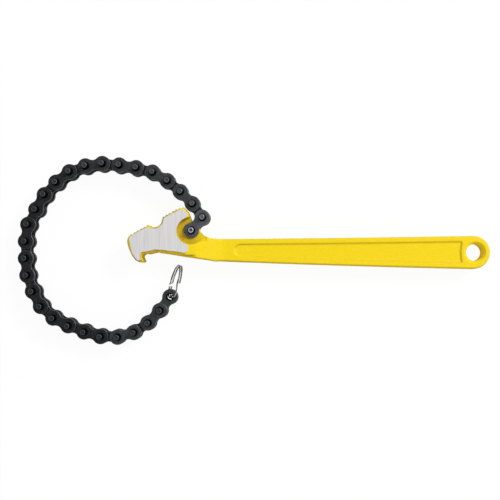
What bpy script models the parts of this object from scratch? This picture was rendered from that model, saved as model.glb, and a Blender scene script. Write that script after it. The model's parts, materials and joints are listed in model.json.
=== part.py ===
"""A chain wrench lying flat: a forged handle with a double toothed jaw, its chain and a split ring.

Lengths are in metres, and +Z is up. In the plan the chain's anchor pin is the centre, +X runs along
the handle, and the whole is then set down with the middle of its footprint on the origin.
"""

from math import atan2, cos, hypot, pi, radians, sin, sqrt

import bmesh
import bpy
from mathutils import Matrix, Vector

# Chain: 14 outer links with pins and 14 inner links with bushes, by turns
PITCH = 0.0142
LINK_COUNT = 28
PLATE_RADIUS = 0.0065
PLATE_WAIST = 0.0082
PLATE_THICKNESS = 0.0016
PIN_DIAMETER = 0.0048
PIN_LENGTH = 0.0254
BUSH_DIAMETER = 0.0072
BUSH_GAP = 0.006
END_BUSH_DIAMETER = 0.008
END_BORE_WAIST = 0.0045
END_BORE_MOUTH = 0.0068
RUNNING_GAP = 0.0002
SEAT_GAP = 0.0003

# How the chain lies: the bend at each pin in degrees, counter-clockwise, the first from +X
BENDS = (
    50, 76, 9, 5, 10, 15, 6, 4, 13, 12, 18, 9, 13, 2,
    20, 8, 5, 14, 9, 19, 16, 6, 5, 14, 18, 18, 12, 8,
)

# Split ring: two turns of wire through the last bore, leaning a little, with angles in degrees
RING_RADIUS = 0.0141
RING_WIRE = 0.0013
RING_TURN_GAP = 0.00045
RING_LIFT = 0.0019
RING_BEND = 20
RING_LEAN = 17
RING_END = 135
RING_JOG = 45
RING_POINTS = 46

# Head: both jaws, the twin hooks and the pocket for the anchored link, with angles in degrees
HEAD_REACH = 0.0533
HEAD_HEIGHT = 0.0462
HEAD_THICKNESS = 0.0254
HEAD_DRAFT = 0.0004
HEAD_EDGE = 0.0014
HEAD_EDGE_DROP = 0.0017
THROAT_RADIUS = 0.0062
THROAT_SWEEP = 130
WEB_ANGLES = (-5, 80)
TOOTH_PITCH = 0.0031
TOOTH_DEPTH = 0.0014
TOOTH_CUT_RADIUS = 0.002
POCKET_MARGIN = 0.0048
POCKET_SHIFT = 0.0006
POCKET_ANGLES = (93, 305)
SLOT_MARGIN = 0.0005
SLOT_CEILING = 0.0138
SLOT_LENGTH = 0.0137
WEB_CLEARANCE = 0.0006
HORN_CLEARANCE = 0.0004

# Neck: where the head's thickness falls to the handle's
NECK_START = -0.002
NECK_LENGTH = 0.034
NECK_DIP = 0.0002

# Handle: a flat bar that widens to a round end with a hanging eye
HANDLE_THICKNESS = 0.015
HANDLE_START = 0.02
HANDLE_LENGTH = 0.2355
HANDLE_ROOT_WIDTH = 0.0188
HANDLE_MIDDLE_WIDTH = 0.0236
HANDLE_END_WIDTH = 0.028
HANDLE_ROOT_DROP = 0.0163
HANDLE_MIDDLE_DROP = 0.0177
HANDLE_END_DROP = 0.0183
HANDLE_DRAFT = 0.0003
HANDLE_EDGE = 0.0009
HANDLE_EDGE_DROP = 0.0011
EYE_SHIFT = 0.0011
EYE_DIAMETER = 0.0142
EYE_RIM_DIAMETER = 0.018
EYE_RIM_DEPTH = 0.0024
PANEL_START = 0.0352
PANEL_BORDER = 0.0043
PANEL_DEPTH = 0.0012
PANEL_SLOPE = 0.0013
PANEL_EYE_MARGIN = 0.0024
PANEL_BOW = 0.0009
PANEL_CORNER = 0.0018

# One overrun serves every cutter
OVERRUN = 0.002

# Outline points of the head, as shares of its reach in x and of its height in y
HORN_SHARES = ((-0.009, 0.229), (-0.041, 0.32), (-0.086, 0.387), (-0.124, 0.416))
UPPER_TEETH_SHARES = ((-0.124, 0.416), (-0.188, 0.4), (-0.253, 0.366), (-0.437, 0.245))
THROAT_SHARES = (-0.572, 0.195)
LOWER_TEETH_SHARES = ((-0.672, 0.1), (-0.942, -0.074))
HOOK_BACK_SHARES = (
    (-0.981, -0.117), (-1.0, -0.186), (-0.994, -0.251), (-0.968, -0.351),
    (-0.923, -0.463), (-0.869, -0.545), (-0.807, -0.584), (-0.758, -0.584),
)
HOOK_MOUTH_SHARES = (
    (-0.732, -0.554), (-0.749, -0.515), (-0.764, -0.476), (-0.754, -0.446), (-0.728, -0.426),
)
BELLY_SHARES = (
    (-0.664, -0.432), (-0.608, -0.415), (-0.548, -0.399), (-0.448, -0.415),
    (-0.298, -0.441), (-0.094, -0.48), (0.105, -0.513), (0.263, -0.539),
    (0.375, -0.563), (0.557, -0.546),
)
NECK_TOP_SHARES = ((0.557, -0.174), (0.375, -0.143), (0.3, -0.134), (0.246, -0.113), (0.189, -0.074))

# Segments of round shapes
LOBE_STEPS = 8
WAIST_STEPS = 4
CORNER_STEPS = 3
BOW_STEPS = 6
PIN_SIDES = 10
ARC_STEPS = 6
ROUND_SIDES = 40
NECK_STEPS = 6
HANDLE_STEPS = 8
SHARP_ANGLE = 35

# Worked out from the sizes above
INNER_HALF = BUSH_GAP / 2 + PLATE_THICKNESS
OUTER_LOW = INNER_HALF + SEAT_GAP
OUTER_HALF = OUTER_LOW + PLATE_THICKNESS
PIN_RADIUS = PIN_DIAMETER / 2
BUSH_RADIUS = BUSH_DIAMETER / 2
FACET = cos(pi / PIN_SIDES)
PIN_BORE_RADIUS = (PIN_RADIUS + RUNNING_GAP) / FACET
END_BUSH_RADIUS = END_BUSH_DIAMETER / 2
END_WAIST_RADIUS = END_BORE_WAIST / 2 / FACET
END_MOUTH_RADIUS = END_BORE_MOUTH / 2 / FACET
HEAD_HALF = HEAD_THICKNESS / 2
HANDLE_HALF = HANDLE_THICKNESS / 2
POCKET_RADIUS = PLATE_RADIUS + POCKET_MARGIN
WEB_RADIUS = PITCH - PLATE_RADIUS - WEB_CLEARANCE


def clear_scene():
    for obj in list(bpy.data.objects):
        bpy.data.objects.remove(obj, do_unlink=True)


def make_collection(name):
    collection = bpy.data.collections.new(name)
    bpy.context.scene.collection.children.link(collection)
    return collection


def make_material(name, colour, metallic, roughness):
    material = bpy.data.materials.new(name)
    material.use_nodes = True
    shader = material.node_tree.nodes["Principled BSDF"]
    shader.inputs["Base Color"].default_value = (*colour, 1)
    shader.inputs["Metallic"].default_value = metallic
    shader.inputs["Roughness"].default_value = roughness
    return material


def add_object(name, mesh, collection):
    obj = bpy.data.objects.new(name, mesh)
    collection.objects.link(obj)
    return obj


def hide(obj):
    """Make a cutter or a joined shape a helper that no render shows."""
    obj.hide_render = True
    obj.display_type = "WIRE"
    return obj


def shade(mesh):
    mesh.shade_smooth()
    mesh.set_sharp_from_angle(angle=radians(SHARP_ANGLE))


def boolean(target, other, operation="DIFFERENCE"):
    modifier = target.modifiers.new(other.name, "BOOLEAN")
    modifier.operation = operation
    modifier.object = other


def arc(centre, radius, start, end, steps):
    """Points on an arc, with angles in degrees, both ends included."""
    points = []
    for i in range(steps + 1):
        angle = radians(start + (end - start) * i / steps)
        points.append((centre[0] + radius * cos(angle), centre[1] + radius * sin(angle)))
    return points


def circle(centre, radius, sides):
    return arc(centre, radius, 0, 360, sides)[:-1]


def flat_plate(name, outlines, low, high, collection):
    """A flat outline with its holes, as a filled 2D curve with a thickness, made a mesh."""
    curve = bpy.data.curves.new(name, "CURVE")
    curve.dimensions = "2D"
    curve.fill_mode = "BOTH"
    curve.extrude = (high - low) / 2
    for outline in outlines:
        spline = curve.splines.new("POLY")
        spline.points.add(len(outline) - 1)
        spline.use_cyclic_u = True
        for point, (x, y) in zip(spline.points, outline):
            point.co = (x, y, 0, 1)
    guide = add_object(name, curve, collection)
    mesh = evaluated_mesh(guide)
    bpy.data.objects.remove(guide)
    mesh.name = name
    shape = bmesh.new()
    shape.from_mesh(mesh)
    bmesh.ops.remove_doubles(shape, verts=shape.verts, dist=SEAT_GAP / 10)
    bmesh.ops.translate(shape, verts=shape.verts, vec=(0, 0, (low + high) / 2))
    bmesh.ops.recalc_face_normals(shape, faces=shape.faces)
    shape.to_mesh(mesh)
    shape.free()
    return add_object(name, mesh, collection)


def stepped_block(name, outline, low, rise, steps, collection, open_base=False):
    """A block on an outline: straight from low by rise, then drawn in by each (inset, rise) of steps."""
    shape = bmesh.new()
    base = shape.faces.new([shape.verts.new((x, y, low)) for x, y in outline])
    grown = bmesh.ops.extrude_face_region(shape, geom=[base], use_keep_orig=True)["geom"]
    top = next(item for item in grown if isinstance(item, bmesh.types.BMFace))
    bmesh.ops.translate(shape, verts=top.verts, vec=(0, 0, rise))
    bmesh.ops.recalc_face_normals(shape, faces=shape.faces)
    for inset, height in steps:
        bmesh.ops.inset_region(shape, faces=[top], thickness=inset, depth=height, use_even_offset=True)
    if open_base:
        bmesh.ops.delete(shape, geom=[base], context="FACES_ONLY")
    mesh = bpy.data.meshes.new(name)
    shape.to_mesh(mesh)
    shape.free()
    return add_object(name, mesh, collection)


def mirror_down(obj):
    """Complete a half that is open at the parting plane."""
    modifier = obj.modifiers.new("lower half", "MIRROR")
    modifier.use_axis = (False, False, True)
    modifier.merge_threshold = SEAT_GAP / 10


def cylinder(name, centre, radius, low, high, sides, collection, end_radius=None):
    shape = bmesh.new()
    bmesh.ops.create_cone(
        shape,
        cap_ends=True,
        segments=sides,
        radius1=radius,
        radius2=radius if end_radius is None else end_radius,
        depth=high - low,
    )
    bmesh.ops.translate(shape, verts=shape.verts, vec=(*centre, (low + high) / 2))
    mesh = bpy.data.meshes.new(name)
    shape.to_mesh(mesh)
    shape.free()
    return add_object(name, mesh, collection)


def evaluated_mesh(obj):
    bpy.context.view_layer.update()
    graph = bpy.context.evaluated_depsgraph_get()
    return bpy.data.meshes.new_from_object(obj.evaluated_get(graph))


def joined_mesh(name, body, additions, cuts):
    """The mesh of a body with shapes joined to it and cut from it, for copies to share."""
    for other in additions:
        boolean(body, other, "UNION")
    for other in cuts:
        boolean(body, other)
    mesh = evaluated_mesh(body)
    mesh.name = name
    for obj in (body, *additions, *cuts):
        bpy.data.objects.remove(obj)
    shade(mesh)
    return mesh


def link_outline():
    """The figure-of-eight outline of a link plate: two round lobes and a hollow waist."""
    half = PITCH / 2
    waist = PLATE_WAIST / 2
    hollow = (half**2 + waist**2 - PLATE_RADIUS**2) / (2 * (PLATE_RADIUS - waist))
    lean = atan2(waist + hollow, half) * 180 / pi
    spread = 90 - lean
    far_lobe = arc((PITCH, 0), PLATE_RADIUS, lean - 180, 180 - lean, LOBE_STEPS)
    near_lobe = arc((0, 0), PLATE_RADIUS, lean, 360 - lean, LOBE_STEPS)
    upper = arc((half, waist + hollow), hollow, 270 + spread, 270 - spread, WAIST_STEPS)
    lower = arc((half, -waist - hollow), hollow, 90 + spread, 90 - spread, WAIST_STEPS)
    return far_lobe + upper[1:-1] + near_lobe + lower[1:-1]


def link_holes(radii):
    """One hole at each end of a plate."""
    return [circle((x, 0), radius, PIN_SIDES) for x, radius in zip((0, PITCH), radii)]


def at_both_ends(name, radii, low, high, collection):
    return [
        cylinder(f"{name}_{x}", (x, 0), radius, low, high, PIN_SIDES, collection)
        for x, radius in zip((0, PITCH), radii)
    ]


def outer_link_meshes(cutters):
    """An outer link: a cover plate, and the other plate with its two long pins riveted in."""
    holes = link_holes([PIN_RADIUS + SEAT_GAP] * 2)
    cover = flat_plate("outer_cover", [link_outline(), *holes], OUTER_LOW, OUTER_HALF, cutters)
    plate = flat_plate("pin_plate", [link_outline()], -OUTER_HALF, -OUTER_LOW, cutters)
    pins = at_both_ends("pin", [PIN_RADIUS] * 2, -PIN_LENGTH / 2, PIN_LENGTH / 2, cutters)
    return (
        joined_mesh("outer_cover_plate", cover, (), ()),
        joined_mesh("pin_plate", plate, pins, ()),
    )


def pin_bore(name, x, collection):
    through = INNER_HALF + OVERRUN
    return cylinder(name, (x, 0), PIN_BORE_RADIUS, -through, through, PIN_SIDES, collection)


def flared_bore(name, x, collection):
    """Two cones that meet at a waist, so that the split ring can lean in its bore."""
    slope = (END_MOUTH_RADIUS - END_WAIST_RADIUS) / INNER_HALF
    past = slope * OVERRUN
    cones = []
    for way in (1, -1):
        cone = cylinder(
            f"{name}_{way}",
            (x, 0),
            END_WAIST_RADIUS - past,
            -OVERRUN,
            INNER_HALF + OVERRUN,
            PIN_SIDES,
            collection,
            END_MOUTH_RADIUS + past,
        )
        cone.scale.z = way
        cones.append(cone)
    return cones


def inner_link_meshes(cutters, far_radius, far_bore):
    """An inner link: a cover plate, and the other plate with its two bushes pressed in."""
    bush_radii = (BUSH_RADIUS, far_radius)
    holes = link_holes([radius + SEAT_GAP for radius in bush_radii])
    cover = flat_plate("inner_cover", [link_outline(), *holes], BUSH_GAP / 2, INNER_HALF, cutters)
    plate = flat_plate("bush_plate", [link_outline()], -INNER_HALF, -BUSH_GAP / 2, cutters)
    middle = -INNER_HALF + PLATE_THICKNESS / 2
    bushes = at_both_ends("bush", bush_radii, middle, INNER_HALF, cutters)
    near_bore = pin_bore("near_bore", 0, cutters)
    return (
        joined_mesh("inner_cover_plate", cover, (), ()),
        joined_mesh("bush_plate", plate, bushes, (near_bore, *far_bore)),
    )


def chain_places():
    """The plan position of each pin and the heading of each link, in degrees."""
    headings = []
    places = [(0.0, 0.0)]
    heading = 0
    for bend in BENDS:
        heading += bend
        headings.append(heading)
        x, y = places[-1]
        places.append((x + PITCH * cos(radians(heading)), y + PITCH * sin(radians(heading))))
    return places, headings


def make_chain(parts, cutters, steel):
    """Every link in its place, each with its origin on the pin that it turns on."""
    outer = outer_link_meshes(cutters)
    inner = inner_link_meshes(cutters, BUSH_RADIUS, [pin_bore("far_bore", PITCH, cutters)])
    last = inner_link_meshes(cutters, END_BUSH_RADIUS, flared_bore("ring_bore", PITCH, cutters))
    for mesh in (*outer, *inner, *last):
        mesh.materials.append(steel)
    places, headings = chain_places()
    made = []
    for i in range(LINK_COUNT):
        if i % 2:
            meshes = last if i == LINK_COUNT - 1 else inner
        else:
            meshes = outer
        for mesh, piece in zip(meshes, ("cover_plate", "bush_plate" if i % 2 else "pin_plate")):
            obj = add_object(f"link_{i + 1:02d}_{piece}", mesh, parts)
            obj.location = (*places[i], 0)
            obj.rotation_euler.z = radians(headings[i])
            made.append(obj)
    return made


def ring_path():
    """Points along the ring's wire about the last bore: x outwards, y across the turns, z up."""
    step = RING_WIRE + RING_TURN_GAP
    reach = INNER_HALF + RING_LIFT
    sag = RING_RADIUS - sqrt(RING_RADIUS**2 - reach**2)
    centre = RING_RADIUS - sag / 2
    length = 720 - RING_JOG
    lean = Matrix.Rotation(radians(RING_LEAN), 3, "X")
    points = []
    for i in range(RING_POINTS):
        turn = length * i / (RING_POINTS - 1)
        share = min(1, max(0, (turn - 360 + RING_JOG) / RING_JOG))
        eased = share * share * (3 - 2 * share)
        angle = radians(RING_END + turn)
        across = step * (0.5 - eased)
        points.append(
            lean @ Vector((centre + RING_RADIUS * cos(angle), across, RING_LIFT + RING_RADIUS * sin(angle)))
        )
    return points


def least_gap(points, wire):
    """The least gap between stretches of wire that lie a turn apart."""
    apart = len(points) // 4
    gaps = [
        (a - b).length - wire
        for i, a in enumerate(points)
        for b in points[i + apart :]
    ]
    return min(gaps)


def make_split_ring(parts, steel):
    points = ring_path()
    print(f"split ring: least gap to itself {1000 * least_gap(points, RING_WIRE):.2f} mm")
    curve = bpy.data.curves.new("split_ring", "CURVE")
    curve.dimensions = "3D"
    curve.bevel_depth = RING_WIRE / 2
    curve.bevel_resolution = 2
    curve.use_fill_caps = True
    spline = curve.splines.new("POLY")
    spline.points.add(len(points) - 1)
    for target, point in zip(spline.points, points):
        target.co = (*point, 1)
    curve.materials.append(steel)
    places, headings = chain_places()
    ring = add_object("split_ring", curve, parts)
    ring.location = (*places[-1], 0)
    ring.rotation_euler.z = radians(headings[-1] + RING_BEND)
    return ring


def head_points(shares):
    return [(x * HEAD_REACH, y * HEAD_HEIGHT) for x, y in shares]


def throat_arc():
    centre = head_points([THROAT_SHARES])[0]
    return arc(centre, THROAT_RADIUS, 0, -THROAT_SWEEP, ARC_STEPS)


def web_arc():
    """The web's round edge about the anchor pin, from the neck up to the horn."""
    return arc((0, 0), WEB_RADIUS, *WEB_ANGLES, ARC_STEPS)


def head_outline():
    """Counter-clockwise from the horn over both jaws, round the hook and back along the neck."""
    return (
        head_points(HORN_SHARES[:-1])
        + head_points(UPPER_TEETH_SHARES)
        + throat_arc()
        + head_points(LOWER_TEETH_SHARES)
        + head_points(HOOK_BACK_SHARES)
        + head_points(HOOK_MOUTH_SHARES)
        + head_points(BELLY_SHARES)
        + head_points(NECK_TOP_SHARES)
        + web_arc()
    )


def groove_places(points):
    """Where the grooves between the teeth go along an edge, with each one's outward angle."""
    lengths = [hypot(b[0] - a[0], b[1] - a[1]) for a, b in zip(points, points[1:])]
    count = round(sum(lengths) / TOOTH_PITCH)
    spare = (sum(lengths) - count * TOOTH_PITCH) / 2
    places = []
    for i in range(count):
        along = spare + (i + 0.5) * TOOTH_PITCH
        for length, a, b in zip(lengths, points, points[1:]):
            if along <= length:
                break
            along -= length
        share = along / length
        angle = atan2(b[1] - a[1], b[0] - a[0]) - pi / 2
        places.append((a[0] + (b[0] - a[0]) * share, a[1] + (b[1] - a[1]) * share, angle))
    return places


def tooth_cutter(name, points, collection):
    """Square bars that stand on edge along a jaw, one for each groove."""
    shape = bmesh.new()
    for x, y, angle in groove_places(points):
        out = TOOTH_CUT_RADIUS - TOOTH_DEPTH
        bar = bmesh.ops.create_cone(
            shape,
            cap_ends=True,
            segments=4,
            radius1=TOOTH_CUT_RADIUS,
            radius2=TOOTH_CUT_RADIUS,
            depth=HEAD_THICKNESS + OVERRUN,
        )["verts"]
        centre = Vector((x + out * cos(angle), y + out * sin(angle), 0))
        turned = angle + atan2(bar[0].co.y, bar[0].co.x)
        bmesh.ops.rotate(shape, verts=bar, cent=(0, 0, 0), matrix=Matrix.Rotation(turned, 3, "Z"))
        bmesh.ops.translate(shape, verts=bar, vec=centre)
    mesh = bpy.data.meshes.new(name)
    shape.to_mesh(mesh)
    shape.free()
    return add_object(name, mesh, collection)


def neck_profile(collection):
    """The side view of the head and neck, as a bar across the whole width that the head is kept inside."""
    fall = HEAD_HALF - (HANDLE_HALF - NECK_DIP)
    ramp = []
    for i in range(NECK_STEPS + 1):
        share = i / NECK_STEPS
        eased = share * share * (3 - 2 * share)
        ramp.append((NECK_START + NECK_LENGTH * share, HEAD_HALF - fall * eased))
    left = -HEAD_REACH - OVERRUN
    top = HEAD_HALF + OVERRUN
    upper = [(left, top), (NECK_START, top), *ramp]
    outline = upper[::-1] + [(x, -z) for x, z in upper]
    half_width = HEAD_HEIGHT
    profile = flat_plate("neck_profile", [outline], -half_width, half_width, collection)
    profile.rotation_euler.x = pi / 2
    return hide(profile)


def pocket_outline():
    """The pocket of the anchored link: round at the back, and open along the link's swing."""
    centre = (-POCKET_SHIFT, -POCKET_SHIFT)
    back = arc(centre, POCKET_RADIUS, *POCKET_ANGLES, 3 * ARC_STEPS)
    neck_x, neck_y = head_points(NECK_TOP_SHARES[3:4])[0]
    far = 2 * POCKET_RADIUS
    mouth = [(neck_x, neck_y), (neck_x + far, neck_y + POCKET_SHIFT), (neck_x + far, far), (back[0][0], far)]
    return back + mouth


def slot_outline():
    """The slot that parts the head's lower corner into twin hooks, for the chain to lie in."""
    hook_x = HOOK_MOUTH_SHARES[2][0] * HEAD_REACH
    end = hook_x + SLOT_LENGTH - PLATE_RADIUS
    left = -HEAD_REACH - OVERRUN
    ceiling = -SLOT_CEILING
    corner = arc((end, ceiling - PLATE_RADIUS), PLATE_RADIUS, 0, 90, ARC_STEPS)
    floor = -HEAD_HEIGHT
    return [(left, floor), (end + PLATE_RADIUS, floor), *corner, (left, ceiling + POCKET_SHIFT)]


def handle_centre_and_width(x):
    """The bar's centre height and width at x, on curves through its root, middle and end."""
    t = (x - HANDLE_START) / (HANDLE_LENGTH - HANDLE_START)
    root = 2 * (t - 0.5) * (t - 1)
    middle = 4 * t * (1 - t)
    end = 2 * t * (t - 0.5)
    drop = root * HANDLE_ROOT_DROP + middle * HANDLE_MIDDLE_DROP + end * HANDLE_END_DROP
    width = root * HANDLE_ROOT_WIDTH + middle * HANDLE_MIDDLE_WIDTH + end * HANDLE_END_WIDTH
    return -drop, width


def handle_edges(start, end, border, steps):
    """Upper and lower edge points of the bar, set in by a border."""
    upper, lower = [], []
    for i in range(steps + 1):
        x = start + (end - start) * i / steps
        centre, width = handle_centre_and_width(x)
        upper.append((x, centre + width / 2 - border))
        lower.append((x, centre - width / 2 + border))
    return upper, lower


def eye_centre():
    return (HANDLE_LENGTH + EYE_SHIFT, -HANDLE_END_DROP)


def handle_outline():
    upper, lower = handle_edges(HANDLE_START, HANDLE_LENGTH, 0, HANDLE_STEPS)
    end = arc((HANDLE_LENGTH, -HANDLE_END_DROP), HANDLE_END_WIDTH / 2, -90, 90, 3 * ARC_STEPS)
    return lower[:-1] + end + upper[::-1][1:]


def panel_outline():
    """The sunk panel: a round end towards the head, and a square end bowed away from the eye."""
    centre, width = handle_centre_and_width(PANEL_START)
    nose_radius = width / 2 - PANEL_BORDER
    nose = arc((PANEL_START + nose_radius, centre), nose_radius, 270, 90, ARC_STEPS)[1:-1]
    end = eye_centre()[0] - EYE_RIM_DIAMETER / 2 - PANEL_EYE_MARGIN + PANEL_BOW
    corner_x = end - PANEL_CORNER
    upper, lower = handle_edges(PANEL_START + nose_radius, corner_x, PANEL_BORDER, HANDLE_STEPS)
    low, high = lower[-1][1] + PANEL_CORNER, upper[-1][1] - PANEL_CORNER
    low_corner = arc((corner_x, low), PANEL_CORNER, -90, 0, CORNER_STEPS)[1:]
    high_corner = arc((corner_x, high), PANEL_CORNER, 0, 90, CORNER_STEPS)[:-1]
    bow = []
    for i in range(1, BOW_STEPS):
        share = 2 * i / BOW_STEPS - 1
        bow.append((end - PANEL_BOW * (1 - share * share), low + (high - low) * i / BOW_STEPS))
    return lower + low_corner + bow + high_corner + upper[::-1] + nose[::-1]


def make_handle(parts, cutters, paint):
    """The one-piece forging: head, neck and bar joined, then everything that is cut from it."""
    steps = (
        (HEAD_DRAFT, HEAD_HALF - HEAD_EDGE_DROP),
        (HEAD_EDGE / 3, HEAD_EDGE_DROP * 2 / 3),
        (HEAD_EDGE * 2 / 3, HEAD_EDGE_DROP / 3),
    )
    handle = stepped_block("handle", head_outline(), 0, 0, steps, parts, open_base=True)
    mirror_down(handle)
    boolean(handle, neck_profile(cutters), "INTERSECT")

    steps = ((HANDLE_DRAFT, HANDLE_HALF - HANDLE_EDGE_DROP), (HANDLE_EDGE, HANDLE_EDGE_DROP))
    bar = stepped_block("handle_bar", handle_outline(), 0, 0, steps, cutters, open_base=True)
    mirror_down(bar)
    boolean(handle, hide(bar), "UNION")

    def cut(cutter):
        boolean(handle, hide(cutter))

    for name, way in (("front", 1), ("back", -1)):
        pocket = flat_plate(f"{name}_pocket", [pocket_outline()], INNER_HALF, HEAD_HALF + OVERRUN, cutters)
        pocket.scale.z = way
        cut(pocket)
    slot_half = OUTER_HALF + SLOT_MARGIN
    cut(flat_plate("hook_slot", [slot_outline()], -slot_half, slot_half, cutters))
    cut(tooth_cutter("upper_tooth_cuts", head_points(UPPER_TEETH_SHARES), cutters))
    cut(tooth_cutter("lower_tooth_cuts", head_points(LOWER_TEETH_SHARES), cutters))
    through = HEAD_HALF + OVERRUN
    second_pin = chain_places()[0][2]
    relief = PLATE_RADIUS + HORN_CLEARANCE
    cut(cylinder("horn_relief", second_pin, relief, -through, through, ROUND_SIDES, cutters))
    cut(cylinder("anchor_bore", (0, 0), PIN_BORE_RADIUS, -through, through, PIN_SIDES, cutters))
    eye = eye_centre()
    cut(cylinder("eye_bore", eye, EYE_DIAMETER / 2, -through, through, ROUND_SIDES, cutters))
    for name, way in (("front", 1), ("back", -1)):
        low = HANDLE_HALF - EYE_RIM_DEPTH
        rim = EYE_RIM_DIAMETER / 2
        slope = (rim - EYE_DIAMETER / 2) / EYE_RIM_DEPTH
        high = HANDLE_HALF + OVERRUN
        wide = rim + slope * OVERRUN
        sink = cylinder(f"{name}_countersink", eye, EYE_DIAMETER / 2, low, high, ROUND_SIDES, cutters, wide)
        sink.scale.z = way
        cut(sink)
        panel = stepped_block(
            f"{name}_panel", panel_outline(), high, -OVERRUN, ((PANEL_SLOPE, PANEL_DEPTH),), cutters
        )
        panel.scale.z = way
        cut(panel)
    handle.data.materials.append(paint)
    shade(handle.data)
    return handle


def set_down(pieces):
    """Carry every piece and cutter on an empty, which puts the middle of the footprint on the origin."""
    carrier = bpy.data.objects.new("wrench_frame", None)
    bpy.context.scene.collection.objects.link(carrier)
    bpy.context.view_layer.update()
    graph = bpy.context.evaluated_depsgraph_get()
    corners = []
    for obj in pieces:
        shape = obj.evaluated_get(graph)
        mesh = shape.to_mesh()
        corners += [obj.matrix_world @ vertex.co for vertex in mesh.vertices]
        shape.to_mesh_clear()
    low = [min(corner[i] for corner in corners) for i in range(3)]
    high = [max(corner[i] for corner in corners) for i in range(3)]
    for obj in bpy.data.objects:
        if obj != carrier:
            obj.parent = carrier
    carrier.location = (-(low[0] + high[0]) / 2, -(low[1] + high[1]) / 2, -low[2])


def main():
    clear_scene()
    parts = make_collection("chain_wrench")
    cutters = make_collection("cutters")
    paint = make_material("yellow_paint", (0.75, 0.53, 0.01), 0, 0.4)
    black_steel = make_material("black_oxide_steel", (0.035, 0.036, 0.038), 0.6, 0.45)
    bright_steel = make_material("plated_steel", (0.72, 0.72, 0.72), 1, 0.25)
    pieces = [make_handle(parts, cutters, paint)]
    pieces += make_chain(parts, cutters, black_steel)
    pieces.append(make_split_ring(parts, bright_steel))
    set_down(pieces)


main()
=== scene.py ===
"""Looks for a chain wrench: the forged handle, its chain, the split ring, and the stage they lie on.

Lengths are in metres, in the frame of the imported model: +X along the handle, +Y towards the toothed
jaws, and +Z up.
"""

import json
from math import atan2, cos, hypot, pi, radians, sin, sqrt

import bmesh
import bpy
import numpy as np
from mathutils import Matrix, Vector, noise

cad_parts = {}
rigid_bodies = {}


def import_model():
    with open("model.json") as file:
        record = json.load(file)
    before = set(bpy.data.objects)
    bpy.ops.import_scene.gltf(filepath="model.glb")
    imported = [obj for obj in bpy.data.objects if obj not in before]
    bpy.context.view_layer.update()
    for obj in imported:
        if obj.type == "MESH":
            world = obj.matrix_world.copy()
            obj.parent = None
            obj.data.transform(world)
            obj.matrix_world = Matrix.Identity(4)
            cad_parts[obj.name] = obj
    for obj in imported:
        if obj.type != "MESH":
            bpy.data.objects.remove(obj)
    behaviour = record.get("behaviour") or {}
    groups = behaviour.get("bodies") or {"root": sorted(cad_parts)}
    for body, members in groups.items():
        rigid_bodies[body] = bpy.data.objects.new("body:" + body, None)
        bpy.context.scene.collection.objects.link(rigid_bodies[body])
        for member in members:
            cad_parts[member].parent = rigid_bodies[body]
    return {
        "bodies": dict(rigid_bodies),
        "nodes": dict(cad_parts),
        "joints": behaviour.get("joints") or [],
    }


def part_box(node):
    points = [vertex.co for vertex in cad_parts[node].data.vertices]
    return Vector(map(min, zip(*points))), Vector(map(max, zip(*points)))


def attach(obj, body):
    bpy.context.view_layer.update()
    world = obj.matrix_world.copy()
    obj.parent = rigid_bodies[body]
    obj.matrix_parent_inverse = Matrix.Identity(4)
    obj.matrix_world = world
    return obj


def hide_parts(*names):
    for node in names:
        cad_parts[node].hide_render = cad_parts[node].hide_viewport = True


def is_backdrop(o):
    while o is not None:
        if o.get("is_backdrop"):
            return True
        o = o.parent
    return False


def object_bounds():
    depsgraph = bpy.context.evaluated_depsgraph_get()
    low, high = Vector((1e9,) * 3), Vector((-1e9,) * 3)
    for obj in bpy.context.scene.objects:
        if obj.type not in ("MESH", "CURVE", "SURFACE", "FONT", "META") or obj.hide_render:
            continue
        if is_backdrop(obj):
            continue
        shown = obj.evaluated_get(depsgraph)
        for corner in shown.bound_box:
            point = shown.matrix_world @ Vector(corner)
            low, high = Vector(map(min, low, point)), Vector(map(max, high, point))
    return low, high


bl_info = {
    "name": "Chain Wrench",
    "version": (1, 0, 0),
    "blender": (4, 5, 0),
    "location": "View3D > Sidebar > Chain Wrench",
    "description": "Forged handle, roller chain and split ring of a chain wrench",
    "category": "Add Mesh",
}

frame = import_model()
cad_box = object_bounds()

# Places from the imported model
PINS = [Vector(joint["pos_m"]) for joint in frame["joints"]]
LINKS = sorted(name for name in frame["bodies"] if name.startswith("link_"))
MIDDLE = PINS[0].z
HEAD_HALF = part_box("handle")[1].z - MIDDLE
OUTER_PLATE = [corner.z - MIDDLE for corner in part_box("link_01_cover_plate")]
INNER_PLATE = [corner.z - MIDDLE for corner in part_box("link_02_cover_plate")]
PIN_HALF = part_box("link_01_pin_plate")[1].z - MIDDLE
PITCH = (PINS[1] - PINS[0]).length

# How finely the shapes are made, in metres, counts, degrees and waves to the metre
VOXEL = 0.00042
HANDLE_TRIANGLES = 150000
MERGE = 0.00001
RIM_STEPS = 3
LOBE_STEPS = 26
WAIST_STEPS = 8
ROUND_SIDES = 28
RING_POINTS = 220
RING_SIDES = 14
SHARP_ANGLE = 40
UNEVEN_SCALE = 140

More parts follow.
